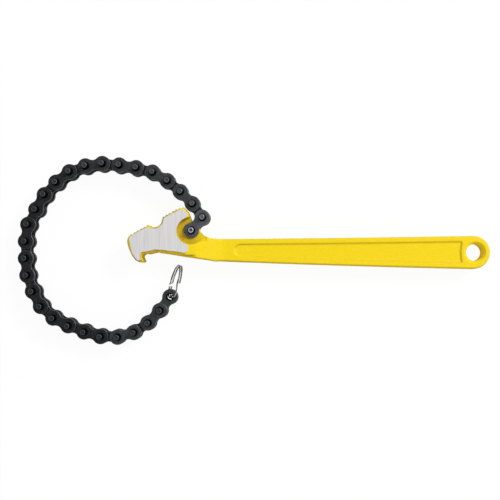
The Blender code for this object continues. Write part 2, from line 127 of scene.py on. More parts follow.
# The ground side face, from the anchor pin in millimetres: round the hook, along the belly to the
# neck, round the pocket to the horn, and back along both rows of teeth
GROUND_FACE = (
    (-51.1, -6.9), (-50.2, -12.3), (-48.5, -19.1), (-44.7, -24.6), (-43.4, -25.4), (-40.9, -24.6),
    (-41.3, -23.1), (-41.6, -20.2), (-41.3, -18.7), (-40.0, -18.0), (-35.5, -17.6), (-31.3, -16.4),
    (-29.2, -16.1), (-23.6, -16.4), (-19.2, -17.1), (-13.6, -17.5), (-5.0, -18.8), (-3.2, -18.3),
    (-2.1, -15.8), (-2.3, -13.8), (-3.2, -12.0), (-6.8, -10.2), (-9.7, -7.6), (-11.2, -3.8),
    (-11.5, -0.1), (-10.5, 3.7), (-8.8, 6.3), (-5.6, 8.9), (-2.6, 11.5), (-2.3, 12.3),
    (-3.8, 15.3), (-5.5, 16.9), (-7.8, 16.9), (-11.1, 15.9), (-14.6, 14.1), (-19.2, 11.8),
    (-22.2, 9.9), (-23.0, 6.2), (-24.8, 3.6), (-27.3, 1.6), (-30.5, 1.1), (-33.5, 1.6),
    (-35.7, 2.7), (-36.8, 2.0), (-42.4, -0.7), (-48.1, -3.8), (-50.2, -5.7),
)

# The painted edge round it: its slope and how far down it reaches, the stock left for grinding, and how
# little the edge drops where the neck begins
EDGE_SLOPE = 0.8
EDGE_REACH = 0.0032
GRIND_STOCK = 0.0005
NECK_STEP = 0.00012

# Where the bar begins and the hanging eye, from the anchor pin
BAR_START = 0.05
EYE = (0.2366, -0.0183)
EYE_RIM = 0.009

# Soft borders on the handle, from the anchor pin, each from where it begins to where it is complete
NECK_START = (0.004, 0.012)
NECK_END = (0.030, 0.034)
POCKET_LOWER = (-0.013, -0.0095)
POCKET_END = (0.009, 0.012)
BELLY_LOWER = (-0.022, -0.0203)
BELLY_END = (-0.002, 0.006)
STEP_START = (-0.010, -0.003)
STEP_UPPER = (-0.011, -0.008)
JAWS_START = (-0.050, -0.045)
JAWS_END = (-0.014, -0.006)

# The scorched line along the jaws' ground edges: its height from the middle plane, and its colour
SCORCH_HEIGHT = (HEAD_HALF - 0.0009, HEAD_HALF - 0.0002)
SCORCHED = (0.11, 0.07, 0.03)

# The tooth tips, from the anchor pin
UPPER_TIPS = ((-0.0066, 0.0192), (-0.0100, 0.0185), (-0.0135, 0.0169), (-0.0233, 0.0113))
LOWER_TIPS = ((-0.0358, 0.0046), (-0.0502, -0.0034))

# How much the plates are rubbed: at the anchor, then fading from link to link, and from one link on
# again near the ring; and the negative value that paints a shadow round the outer plates' pins
ANCHOR_RUB = 0.52
FIRST_RUB = 0.31
RUB_FADE = 0.025
RING_STRETCH = 24
RING_RUB = 0.22
PIN_SHADOW = -0.85

# The wire's cut ends: how long their rounding is for the wire's thickness, and how far they narrow
CUT_ROUNDING = 0.15
CUT_TAPER = 0.72

# The camera: its height over the middle plane and the scale of the picture there
CAMERA_HEIGHT = 0.7
PIXEL = 0.0008416
PICTURE = 500
ANCHOR_PIXEL = (191.9, 230.82)
AXIS_PIXEL = (257, 275)
SENSOR = 36

# The soft lamp's place and its diameter
LAMP_PLACE = (2.1, 1.5, 2.4)
LAMP_SIZE = 1.2


class HandleSettings(bpy.types.PropertyGroup):
    """Sizes and colours of the forged handle"""

    smoothing: bpy.props.IntProperty(
        name="Smoothing", description="How often the forged edges are evened out", default=3, min=0, max=40
    )
    neck_smoothing: bpy.props.IntProperty(
        name="Neck Smoothing", description="How often the neck is evened out", default=24, min=0, max=200
    )
    tooth_pitch: bpy.props.FloatProperty(
        name="Tooth Pitch", description="Distance from tooth to tooth", default=0.0031, unit="LENGTH"
    )
    tooth_radius: bpy.props.FloatProperty(
        name="Tooth Radius", description="Rounding of the tooth tips", default=0.0008, unit="LENGTH"
    )
    tooth_end: bpy.props.FloatProperty(
        name="Tooth End", description="How far the teeth stop short of the side faces", default=0.0012,
        unit="LENGTH",
    )
    unevenness: bpy.props.FloatProperty(
        name="Unevenness", description="Depth of the forging's soft unevenness", default=0.00005,
        unit="LENGTH",
    )
    paint: bpy.props.FloatVectorProperty(
        name="Paint", description="Colour of the enamel", default=(0.80, 0.59, 0.006), size=3, subtype="COLOR"
    )
    steel: bpy.props.FloatVectorProperty(
        name="Ground Steel", description="Colour of the ground faces", default=(0.60, 0.59, 0.59), size=3,
        subtype="COLOR",
    )


class ChainSettings(bpy.types.PropertyGroup):
    """Sizes and colours of the chain"""

    plate_radius: bpy.props.FloatProperty(
        name="Plate Radius", description="Radius of a plate's round ends", default=0.0065, unit="LENGTH"
    )
    plate_waist: bpy.props.FloatProperty(
        name="Plate Waist", description="Width of a plate at its middle", default=0.0082, unit="LENGTH"
    )
    rounding: bpy.props.FloatProperty(
        name="Rounding", description="Rounding of the plates' edges", default=0.00028, unit="LENGTH"
    )
    pin_radius: bpy.props.FloatProperty(
        name="Pin Radius", description="Radius of the long pins", default=0.0024, unit="LENGTH"
    )
    bush_radius: bpy.props.FloatProperty(
        name="Bush Radius", description="Radius of the bushes", default=0.0036, unit="LENGTH"
    )
    end_bush_radius: bpy.props.FloatProperty(
        name="End Bush Radius", description="Radius of the bush that the ring goes through", default=0.004,
        unit="LENGTH",
    )
    end_waist_radius: bpy.props.FloatProperty(
        name="End Waist Radius", description="Radius of the last bush's bore at its waist", default=0.0023,
        unit="LENGTH",
    )
    end_mouth_radius: bpy.props.FloatProperty(
        name="End Mouth Radius", description="Radius of the last bush's bore at its mouths", default=0.0034,
        unit="LENGTH",
    )
    fit: bpy.props.FloatProperty(
        name="Fit", description="Seam between a pin and its hole", default=0.0001, unit="LENGTH"
    )
    # How far the painted shadow round each pin reaches on a plate
    pin_shadow_reach: bpy.props.FloatProperty(
        name="Oil", description="How far old oil darkens a plate round its pins", default=0.0009,
        unit="LENGTH",
    )
    oxide: bpy.props.FloatVectorProperty(
        name="Black Oxide", description="Colour of the oxide", default=(0.019, 0.0193, 0.0205), size=3,
        subtype="COLOR",
    )
    # Also the colour of the painted highlight on the pin rims
    worn_and_highlight: bpy.props.FloatVectorProperty(
        name="Worn Edges", description="Colour where the oxide has rubbed thin", default=(0.145, 0.15, 0.165),
        size=3, subtype="COLOR",
    )


class RingSettings(bpy.types.PropertyGroup):
    """Sizes and colour of the split ring"""

    radius: bpy.props.FloatProperty(
        name="Radius", description="Radius of the turns, at the middle of the wire", default=0.0141,
        unit="LENGTH",
    )
    wire: bpy.props.FloatProperty(
        name="Wire", description="Diameter of the wire", default=0.0013, unit="LENGTH"
    )
    turn_gap: bpy.props.FloatProperty(
        name="Turn Gap", description="Gap between the two turns", default=0.00045, unit="LENGTH"
    )
    lift: bpy.props.FloatProperty(
        name="Lift", description="Height of the ring's middle over the chain's", default=0.0019, unit="LENGTH"
    )
    bend: bpy.props.FloatProperty(
        name="Bend", description="Turn of the ring from the last link", default=radians(20), unit="ROTATION"
    )
    lean: bpy.props.FloatProperty(
        name="Lean", description="How far the ring leans over", default=radians(17), unit="ROTATION"
    )
    end: bpy.props.FloatProperty(
        name="End", description="Where the wire begins", default=radians(135), unit="ROTATION"
    )
    jog: bpy.props.FloatProperty(
        name="Jog", description="How much of the turn the step between turns takes", default=radians(45),
        unit="ROTATION",
    )
    plate: bpy.props.FloatVectorProperty(
        name="Plating", description="Colour of the nickel plate", default=(0.46, 0.45, 0.44), size=3,
        subtype="COLOR",
    )


class StageSettings(bpy.types.PropertyGroup):
    """Floor and light"""

    floor_size: bpy.props.FloatProperty(
        name="Floor Size", description="Side of the square floor", default=6.0, unit="LENGTH"
    )
    shadow: bpy.props.FloatProperty(
        name="Shadow", description="How much of the floor's own shading shows", default=0.05, subtype="FACTOR"
    )
    sky: bpy.props.FloatProperty(name="Sky", description="Strength of the even light", default=0.62)
    lamp: bpy.props.FloatProperty(
        name="Lamp", description="Power of the soft lamp", default=99.0, unit="POWER"
    )


def put(tree, socket, value):
    """Give a node's socket a link or a plain value."""
    if isinstance(value, Term):
        value = value.socket
    if isinstance(value, bpy.types.NodeSocket):
        tree.links.new(value, socket)
    elif socket.type == "RGBA" and len(value) == 3:
        socket.default_value = (*value, 1)
    else:
        socket.default_value = value


def add_node(tree, kind, settings=None, inputs=None):
    """A node of a kind: its settings first, then its sockets, by name or number."""
    node = tree.nodes.new(kind)
    for name, value in (settings or {}).items():
        setattr(node, name, value)
    for key, value in (inputs or {}).items():
        put(tree, node.inputs[key], value)
    return node


class Term:
    """A number in a shader: a sum written on it adds its Math nodes."""

    def __init__(self, tree, socket):
        self.tree = tree
        self.socket = socket

    def math(self, operation, *values, clamp=False):
        """A Math node on these values."""
        settings = {"operation": operation, "use_clamp": clamp}
        node = add_node(self.tree, "ShaderNodeMath", settings, dict(enumerate(values)))
        return Term(self.tree, node.outputs[0])

    def __add__(self, other):
        return self.math("ADD", self, other)

    __radd__ = __add__

    def __sub__(self, other):
        return self.math("SUBTRACT", self, other)

    def __rsub__(self, other):
        return self.math("SUBTRACT", other, self)

    def __mul__(self, other):
        return self.math("MULTIPLY", self, other)

    __rmul__ = __mul__

    def clamped(self):
        return self.math("ADD", self, 0.0, clamp=True)

    def absolute(self):
        return self.math("ABSOLUTE", self)

    def root(self):
        return self.math("SQRT", self)

    def between(self, low, high):
        """0 below low, 1 above high, and smooth in between."""
        settings = {"interpolation_type": "SMOOTHSTEP"}
        inputs = {"Value": self, "From Min": low, "From Max": high}
        node = add_node(self.tree, "ShaderNodeMapRange", settings, inputs)
        return Term(self.tree, node.outputs[0])


class Finish:
    """A material on the principled shader, with its patterns in object coordinates."""

    def __init__(self, name, **fixed):
        self.material = bpy.data.materials.new(name)
        self.material.use_nodes = True
        self.tree = self.material.node_tree
        self.shader = self.tree.nodes["Principled BSDF"]
        self.place = self.node("ShaderNodeTexCoord").outputs["Object"]
        self.shade(**fixed)

    def node(self, kind, settings=None, inputs=None):
        return add_node(self.tree, kind, settings, inputs)

    def term(self, socket):
        return Term(self.tree, socket)

    def noise(self, scale, detail=2, roughness=0.5, stretch=None):
        """A noise from 0 to 1, with its scale in waves to the metre."""
        place = self.place
        if stretch:
            place = self.node("ShaderNodeMapping", None, {"Vector": place, "Scale": stretch}).outputs[0]
        inputs = {"Vector": place, "Scale": scale, "Detail": detail, "Roughness": roughness}
        return self.term(self.node("ShaderNodeTexNoise", None, inputs).outputs["Fac"])

    def attribute(self, name):
        return self.term(self.node("ShaderNodeAttribute", {"attribute_name": name}).outputs["Fac"])

    def mix(self, factor, first, second):
        """One colour to another."""
        settings = {"data_type": "RGBA"}
        inputs = {0: factor, 6: first, 7: second}
        return self.node("ShaderNodeMix", settings, inputs).outputs[2]

    def bump(self, height, distance, strength=1.0):
        inputs = {"Height": height, "Distance": distance, "Strength": strength}
        self.shade(Normal=self.node("ShaderNodeBump", None, inputs).outputs[0])

    def shade(self, **inputs):
        """Values or links for the shader's sockets, by name with _ for a space."""
        for socket, value in inputs.items():
            put(self.tree, self.shader.inputs[socket.replace("_", " ")], value)


def tinted(colour, share):
    """A colour made lighter or darker by a share."""
    return tuple(channel * share for channel in colour)


def enamel_finish(colour):
    """Enamel over the forging: faint orange peel, small pits, a painted shade on its sloping sides and a
    painted shade in the pocket.

    Where side is negative, in the hanging eye, the enamel is paler, a painted light. A scorched line follows
    the jaws' ground edges.
    """
    finish = Finish("yellow_enamel", Specular_IOR_Level=0.15, IOR=1.5)
    steep = finish.attribute("steep")
    side = finish.attribute("side")
    deep = finish.attribute("deep")
    grain = finish.noise(900, 3)
    patch = finish.noise(70, 3)
    coat = finish.mix(grain.between(0.35, 0.7), tinted(colour, 0.95), tinted(colour, 1.02))
    coat = finish.mix(patch.between(0.45, 0.75) * 0.2, coat, tinted(colour, 0.93))
    smear = finish.noise(260, 4, 0.65)
    # Colours for the painted shade in the pocket and on the slopes, and for the painted light in the eye
    pocket_shade_colour = (colour[0] * 0.62, colour[1] * 0.62, colour[2] * 2.5)
    slope_shade_colour = (colour[0] * 0.5, colour[1] * 0.43, colour[2] * 3.5)
    eye_light_colour = (colour[0] * 1.2, colour[1] * 1.3, colour[2] * 8)
    # The pocket darkened to olive by how deep it lies, a painted shade
    coat = finish.mix((deep * (0.7 + smear * 0.5)).clamped(), coat, pocket_shade_colour)
    # Slopes darkened to ochre, a painted shade
    coat = finish.mix((side * (0.6 + smear.between(0.4, 0.75) * 0.3)).clamped(), coat, slope_shade_colour)
    # Where side is negative, in the hanging eye, the enamel turns paler, a painted light
    coat = finish.mix((side * -1.0).clamped(), coat, eye_light_colour)
    peel = finish.noise(1100, 2)
    pits = finish.noise(2300, 1).between(0.66, 0.78)
    coat = finish.mix(pits * 0.25, coat, tinted(colour, 0.62))
    spot = finish.node("ShaderNodeSeparateXYZ", None, {0: finish.place})
    height = (finish.term(spot.outputs["Z"]) - MIDDLE).absolute()
    scorch = height.between(*SCORCH_HEIGHT) * (0.3 + smear.between(0.4, 0.6) * 0.7)
    along = finish.term(spot.outputs["X"]) - PINS[0].x
    jaws = along.between(*JAWS_START) * (1 - along.between(*JAWS_END))
    coat = finish.mix(scorch * jaws * 0.75, coat, SCORCHED)
    finish.shade(Base_Color=coat, Roughness=0.34 + grain * 0.1 + steep * 0.4 + deep * 0.2)
    finish.bump(peel - pits * 0.8, 0.00005, 0.5)
    return finish.material


def ground_steel_finish(colour):
    """Side faces ground across the head, with fine grinding lines along Y."""
    finish = Finish("ground_steel", Metallic=1.0)
    fine = finish.noise(1, 2, 0.6, (5200, 70, 70))
    coarse = finish.noise(1, 3, 0.6, (1300, 26, 26))
    broad = finish.noise(1, 2, 0.5, (330, 12, 12))
    lines = fine * 0.4 + coarse * 0.6
    warm = (colour[0] * 1.06, colour[1] * 1.03, colour[2] * 1.0)
    tone = finish.mix(lines.between(0.34, 0.66), tinted(colour, 0.88), tinted(colour, 1.08))
    tone = finish.mix(broad.between(0.4, 0.7) * 0.5, tone, warm)
    finish.shade(Base_Color=tone, Roughness=0.38 + lines * 0.12)
    finish.bump(lines, 0.00001, 0.3)
    return finish.material


def black_oxide_finish(oxide, worn_and_highlight):
    """Oiled black oxide: lighter where wear is above 0, with a painted highlight on the pin rims; below 0 a
    painted shade on the pins' sides and in the bores, and a painted shadow round the pins; bare steel above
    1.
    """
    finish = Finish("black_oxide", Specular_IOR_Level=0.0)
    wear = finish.attribute("wear")
    cloud = finish.noise(420, 4, 0.65)
    speck = finish.noise(2600, 2)
    coat = finish.mix(cloud.between(0.35, 0.7), tinted(oxide, 0.75), tinted(oxide, 1.35))
    coat = finish.mix(speck.between(0.6, 0.72) * 0.35, coat, tinted(worn_and_highlight, 0.6))
    # Below 0 the coat turns near black: a painted shade on the pins' sides and in the bores, and a painted
    # shadow round the pins
    painted_shade = (wear * -1.0).clamped()
    coat = finish.mix(painted_shade, coat, tinted(oxide, 0.1))
    # Above 0 the coat turns lighter: wear, and on the pin rims a painted highlight
    rubbed = (wear * (0.35 + cloud)).clamped()
    coat = finish.mix(rubbed, coat, worn_and_highlight)
    coat = finish.mix((wear - 1.0).clamped() * cloud.between(0.3, 0.6), coat, tinted(worn_and_highlight, 4))
    roughness = 0.5 + painted_shade * 0.5 - rubbed * 0.2 + speck * 0.08
    finish.shade(Base_Color=coat, Roughness=roughness, Metallic=0.6 - painted_shade * 0.6)
    finish.bump(speck + cloud * 0.5, 0.00003, 0.5)
    return finish.material


def plated_finish(colour):
    """Bright nickel plate on drawn wire, with dark drawing marks along it, and a painted shade on the wire
    inside the last bush.
    """
    finish = Finish("nickel_plate", Metallic=1.0)
    spot = finish.node("ShaderNodeSeparateXYZ", None, {0: finish.place})
    across = finish.term(spot.outputs["X"]) - PINS[-1].x
    along = finish.term(spot.outputs["Y"]) - PINS[-1].y
    from_bush = (across * across + along * along).root()
    finish.place = finish.node("ShaderNodeAttribute", {"attribute_name": "around"}).outputs["Vector"]
    marks = finish.noise(1.6, 3, 0.6, (0.6, 0.6, 0.08))
    tone = finish.mix(marks.between(0.45, 0.63), tinted(colour, 0.08), tinted(colour, 1.3))
    # The wire inside the last bush darkened, a painted shade
    bore_shade = 1 - from_bush.between(0.0030, 0.0050)
    tone = finish.mix(bore_shade * 0.93, tone, tinted(colour, 0.04))
    finish.shade(Base_Color=tone, Roughness=0.3 - marks * 0.16 + bore_shade * 0.12)
    finish.bump(marks, 0.00003, 0.4)
    return finish.material


def add_object(name, mesh, materials=()):
    obj = bpy.data.objects.new(name, mesh)
    bpy.context.scene.collection.objects.link(obj)
    for material in materials:
        mesh.materials.append(material)
    return obj


def plain_mesh(obj, name):
    """What an object's modifiers make of it, as a plain mesh; the object itself is removed."""
    bpy.context.view_layer.update()
    graph = bpy.context.evaluated_depsgraph_get()
    mesh = bpy.data.meshes.new_from_object(
        obj.evaluated_get(graph), preserve_all_data_layers=True, depsgraph=graph
    )
    mesh.name = name
    bpy.data.objects.remove(obj)
    return mesh


def soften(mesh):
    """Smooth shading, with an edge left sharp where its faces meet at a steep angle."""
    mesh.shade_smooth()
    mesh.set_sharp_from_angle(angle=radians(SHARP_ANGLE))


def coordinates(mesh):
    """A mesh's points, one to a row."""
    points = np.empty(len(mesh.vertices) * 3)
    mesh.vertices.foreach_get("co", points)
    return points.reshape(-1, 3)


def move_vertices(mesh, points):
    mesh.vertices.foreach_set("co", points.ravel())
    mesh.update()


def vertex_normals(mesh):
    normals = np.empty(len(mesh.vertices) * 3)
    mesh.vertex_normals.foreach_get("vector", normals)
    return normals.reshape(-1, 3)


def eased(low, high, values):
    """0 below low, 1 above high, and smooth in between."""
    share = np.clip((values - low) / (high - low), 0, 1)
    return share * share * (3 - 2 * share)


def evened(mesh, times, weights=None):
    """The mesh with its edges evened out, all over or with a weight for each vertex."""
    rough = add_object("rough_forging", mesh)
    smooth = rough.modifiers.new("rounding", "SMOOTH")
    smooth.factor = 0.5
    smooth.iterations = times
    if weights is not None:
        group = rough.vertex_groups.new(name="evened")
        for i in np.flatnonzero(weights > 0):
            group.add([int(i)], float(weights[i]), "REPLACE")
        smooth.vertex_group = group.name
    return plain_mesh(rough, "smooth_forging")


def tooth_places(points, pitch, inset):
    """Where the teeth stand along their tips, drawn into the jaw by an inset."""
    lengths = [hypot(b[0] - a[0], b[1] - a[1]) for a, b in zip(points, points[1:])]
    count = round(sum(lengths) / pitch)
    spare = (sum(lengths) - count * pitch) / 2
    places = []
    for i in range(count + 1):
        along = spare + i * pitch
        for length, a, b in zip(lengths, points, points[1:]):
            if along <= length:
                break
            along -= length
        across = ((b[0] - a[0]) / length, (b[1] - a[1]) / length)
        x = a[0] + across[0] * along - across[1] * inset
        y = a[1] + across[1] * along + across[0] * inset
        places.append(PINS[0] + Vector((x, y, 0)))
    return places


def teeth_mesh(settings, paint):
    """A rounded bar for each tooth, with round ends short of the side faces."""
    radius = settings.tooth_radius
    straight = HEAD_HALF - settings.tooth_end - radius
    dome = [
        (radius * cos(pi / 2 * i / RIM_STEPS), straight + radius * sin(pi / 2 * i / RIM_STEPS), 0.0)
        for i in range(RIM_STEPS)
    ]
    dome.append((0, straight + radius, 0.0))
    tooth = add_object("tooth", turned("tooth", mirrored(dome) + dome))
    places = tooth_places(UPPER_TIPS, settings.tooth_pitch, radius)
    places += tooth_places(LOWER_TIPS, settings.tooth_pitch, radius)
    line = bpy.data.meshes.new("tooth_places")
    line.from_pydata(places, [], [])
    tree, ids = teeth_tree()
    mesh = grown(line, tree, ids, {"Tooth": tooth, "Material": paint}, "jaw_teeth")
    bpy.data.objects.remove(tooth)
    return mesh


def forged_mesh(settings, paint):
    """The CAD handle with its teeth and edges rounded as a forging's are."""
    mesh = frame["nodes"]["handle"].data.copy()
    mesh.materials.clear()
    shape = bmesh.new()
    shape.from_mesh(mesh)
    bmesh.ops.remove_doubles(shape, verts=shape.verts, dist=MERGE)
    shape.from_mesh(teeth_mesh(settings, paint))
    shape.to_mesh(mesh)
    shape.free()
    rough = add_object("rough_forging", mesh)
    remesh = rough.modifiers.new("voxels", "REMESH")
    remesh.mode = "VOXEL"
    remesh.voxel_size = VOXEL
    mesh = plain_mesh(rough, "voxel_forging")
    shape_ground_faces(mesh)
    mesh = evened(mesh, settings.smoothing)
    along, across, _ = (coordinates(mesh) - np.array(PINS[0])).T
    neck = eased(*NECK_START, along) * (1 - eased(*NECK_END, along))
    pocket = eased(*POCKET_LOWER, across) * (1 - eased(*POCKET_END, along))
    mesh = evened(mesh, settings.neck_smoothing, neck * (1 - pocket))

    rough = add_object("rough_forging", mesh)
    decimate = rough.modifiers.new("fewer", "DECIMATE")
    decimate.ratio = min(1, HANDLE_TRIANGLES / (2 * len(mesh.polygons)))
    mesh = plain_mesh(rough, "forging")
    mesh.materials.clear()
    return mesh


def distance_outside(points, outline):
    """How far plan points lie outside a closed outline, or inside it as a negative distance."""
    nearest = np.full(len(points), np.inf)
    inside = np.zeros(len(points), bool)
    for start, end in zip(outline, np.roll(outline, -1, axis=0)):
        edge = end - start
        from_start = points - start
        share = np.clip(from_start @ edge / (edge @ edge), 0, 1)
        nearest = np.minimum(nearest, np.linalg.norm(from_start - share[:, None] * edge, axis=1))
        spans = (start[1] > points[:, 1]) != (end[1] > points[:, 1])
        height = np.where(edge[1] == 0, 1, edge[1])
        inside ^= spans & (points[:, 0] < start[0] + from_start[:, 1] * edge[0] / height)
    return np.where(inside, -nearest, nearest)


def shape_ground_faces(mesh):
    """Leave stock to grind off on the ground faces, and slope the painted edge round them."""
    points = coordinates(mesh)
    plan = points - np.array(PINS[0])
    side = np.abs(plan[:, 2])
    near = np.flatnonzero((side > HEAD_HALF - EDGE_REACH) & (plan[:, 0] < HEAD_HALF))
    x, y = plan[near, 0], plan[near, 1]
    outside = distance_outside(plan[near, :2], np.array(GROUND_FACE) / 1000)
    belly = np.maximum(eased(*BELLY_LOWER, y), eased(*BELLY_END, x))
    neck = eased(*STEP_START, x) * belly * (1 - eased(*STEP_UPPER, y))
    deepest = EDGE_REACH + (NECK_STEP - EDGE_REACH) * neck
    target = HEAD_HALF - np.clip(EDGE_SLOPE * outside, -GRIND_STOCK, deepest)
    height = side[near]
    raised = np.where(height > HEAD_HALF - GRIND_STOCK * 3, np.maximum(height, target), height)
    height = np.where(outside < 0, raised, np.minimum(height, target))
    points[near, 2] += np.sign(plan[near, 2]) * (height - side[near])
    move_vertices(mesh, points)


def make_uneven(mesh, unevenness):
    """Make the skin softly uneven, as a forging's is."""
    points = coordinates(mesh)
    waves = np.array([noise.noise(Vector(point) * UNEVEN_SCALE) for point in points])
    move_vertices(mesh, points + vertex_normals(mesh) * (waves * unevenness)[:, None])


def grind(mesh):
    """Cut both side faces of the head flat, and give the cut faces the second material."""
    shape = bmesh.new()
    shape.from_mesh(mesh)
    for way in (1, -1):
        everything = shape.verts[:] + shape.edges[:] + shape.faces[:]
        cut = bmesh.ops.bisect_plane(
            shape,
            geom=everything,
            dist=MERGE / 100,
            plane_co=(0, 0, MIDDLE + way * HEAD_HALF),
            plane_no=(0, 0, way),
            clear_outer=True,
        )
        rim = [item for item in cut["geom_cut"] if isinstance(item, bmesh.types.BMEdge)]
        filled = bmesh.ops.triangle_fill(shape, use_beauty=True, edges=rim, normal=(0, 0, way))
        for item in filled["geom"]:
            if isinstance(item, bmesh.types.BMFace):
                item.material_index = 1
                if item.normal.z * way < 0:
                    item.normal_flip()
    shape.to_mesh(mesh)
    shape.free()


def mark_paint(mesh):
    """Values for the paint: how steep the skin is, a painted shade on its slopes, and a painted shade by how
    deep it lies in the pocket.

    The painted shade lies on slopes, most on those that face away from the lamp, towards the belly's side and
    along the bar to the left, and hardly on upright walls. In the hanging eye it turns into a painted light
    on the slopes that face away.
    """
    points = coordinates(mesh) - np.array(PINS[0])
    normals = vertex_normals(mesh)
    steep = 1 - np.abs(normals[:, 2])
    bar = points[:, 0] > BAR_START
    # A painted shade on the slopes, most on those facing away from the lamp: towards the belly's side, and on
    # the bar to the left
    away = np.maximum(-normals[:, 1], -normals[:, 0] * bar)
    sloping = eased(0.006, 0.07, steep)
    under = sloping * eased(0.1, 0.55, away) * (np.where(bar, 0.34, 0.6) + 0.4 * eased(0.2, 0.6, steep))
    under *= 1 - 0.85 * eased(0.7, 0.97, steep)
    side = np.maximum(sloping * np.where(bar, 0.33, 0.2), under)
    # In the hanging eye the painted shade gives way to a painted light on the slopes that face away
    from_eye = np.hypot(points[:, 0] - EYE[0], points[:, 1] - EYE[1])
    eye = 1 - eased(EYE_RIM, EYE_RIM + 0.0005, from_eye)
    side -= (side + 0.4 * sloping * eased(0, 0.5, away)) * eye
    # A painted shade in the pocket, deepest on its floor round the anchor pin
    height = np.abs(points[:, 2])
    from_pin = np.hypot(points[:, 0], points[:, 1])
    pocket = (1 - eased(0.004, 0.011, height)) * (1 - eased(0.0115, 0.0145, from_pin))
    pocket *= 1 - eased(-0.002, 0.010, points[:, 0]) * 0.8
    for name, values in (("steep", eased(0.3, 0.9, steep)), ("side", side), ("deep", pocket)):
        layer = mesh.attributes.new(name, "FLOAT", "POINT")
        layer.data.foreach_set("value", values)


def flatten_ground_faces(mesh):
    """Shade the ground faces flat, and the rest smooth."""
    painted = np.empty(len(mesh.polygons), int)
    mesh.polygons.foreach_get("material_index", painted)
    mesh.polygons.foreach_set("use_smooth", painted == 0)
    mesh.update()


def plate_loops(settings, inset, hole_radii):
    """A link plate's outline and holes, all drawn into the steel by an inset."""
    radius = settings.plate_radius - inset
    half = PITCH / 2
    waist = settings.plate_waist / 2
    hollow = (half**2 + waist**2 - settings.plate_radius**2) / (2 * (settings.plate_radius - waist))
    lean = atan2(waist + hollow, half)
    hollow_inset = hollow + inset
    outline = arc((PITCH, 0), radius, lean - pi, pi - lean, LOBE_STEPS)
    outline += arc((half, waist + hollow), hollow_inset, -lean, lean - pi, WAIST_STEPS)[1:-1]
    outline += arc((0, 0), radius, lean, 2 * pi - lean, LOBE_STEPS)
    outline += arc((half, -waist - hollow), hollow_inset, pi - lean, lean, WAIST_STEPS)[1:-1]
    holes = [
        arc((x, 0), hole + inset, 0, 2 * pi, ROUND_SIDES)[:-1]
        for x, hole in zip((0, PITCH), hole_radii)
    ]
    return [outline, *holes]


def arc(centre, radius, start, end, steps):
    """Points on an arc, with angles in radians, both ends included."""
    return [
        (
            centre[0] + radius * cos(start + (end - start) * i / steps),
            centre[1] + radius * sin(start + (end - start) * i / steps),
        )
        for i in range(steps + 1)
    ]


def mirrored(profile):
    """The lower half that goes with a profile's upper half."""
    return [(radius, -height, wear) for radius, height, wear in profile[::-1]]


def rim_profile(thickness, rounding):
    """Insets, heights and wear over a plate's edge, from its lower face to its upper."""
    upper = []
    for i in range(RIM_STEPS + 1):
        angle = pi / 2 * i / RIM_STEPS
        height = thickness / 2 - rounding + rounding * sin(angle)
        upper.append((rounding * (1 - cos(angle)), height, sin(2 * angle)))
    return mirrored(upper) + upper


def worn_ring(shape, places, height, wear):
    """A ring of vertices at a height, with their value of wear and painted light."""
    layer = shape.verts.layers.float["wear"]
    ring = [shape.verts.new((x, y, height)) for x, y in places]
    for vertex in ring:
        vertex[layer] = wear
    return ring


def closed_mesh(name, shape):
    """A closed shape as a mesh, with its faces turned outwards."""
    bmesh.ops.recalc_face_normals(shape, faces=shape.faces)
    mesh = bpy.data.meshes.new(name)
    shape.to_mesh(mesh)
    shape.free()
    return mesh


def rounded_plate(name, settings, thickness, hole_radii, rubbed, hole_wear_and_shadow):
    """A link plate with rounded edges, its faces rubbed a little, and another wear round its holes, which on
    the outer plates is a painted shadow round the pins.
    """
    shape = bmesh.new()
    shape.verts.layers.float.new("wear")
    stacks = []
    for inset, height, wear in rim_profile(thickness, settings.rounding):
        outline, *holes = plate_loops(settings, inset, hole_radii)
        level = [worn_ring(shape, outline, height, rubbed + wear)]
        level += [worn_ring(shape, hole, height, hole_wear_and_shadow) for hole in holes]
        stacks.append(level)
    for lower, upper in zip(stacks, stacks[1:]):
        for low, high in zip(lower, upper):
            for i in range(len(low)):
                shape.faces.new((low[i - 1], low[i], high[i], high[i - 1]))
    for (outline, *holes), way in ((stacks[0], -1), (stacks[-1], 1)):
        rims = [outline]
        for place, radius, ring in zip((0, PITCH), hole_radii, holes):
            # The painted shadow round each pin fades out by this reach
            reach = radius + settings.rounding + settings.pin_shadow_reach
            circle = arc((place, 0), reach, 0, 2 * pi, ROUND_SIDES)[:-1]
            rims.append(worn_ring(shape, circle, ring[0].co.z, rubbed))
            for i in range(ROUND_SIDES):
                shape.faces.new((ring[i - 1], ring[i], rims[-1][i], rims[-1][i - 1]))
        edges = [
            shape.edges.get((ring[i - 1], ring[i])) or shape.edges.new((ring[i - 1], ring[i]))
            for ring in rims
            for i in range(len(ring))
        ]
        bmesh.ops.triangle_fill(shape, use_beauty=True, edges=edges, normal=(0, 0, way))
    return closed_mesh(name, shape)


def plate_rub(i):
    """How much a link's plates are rubbed: most at the anchor, and a little near the ring."""
    if i == 0:
        return ANCHOR_RUB
    return RING_RUB if i >= RING_STRETCH else max(0, FIRST_RUB - RUB_FADE * i)


def pin_rub(i):
    """How much a link's pin ends are rubbed, which is hardly near the ring."""
    return 0.05 + plate_rub(i) * (1.35 if i < RING_STRETCH else 0.3)


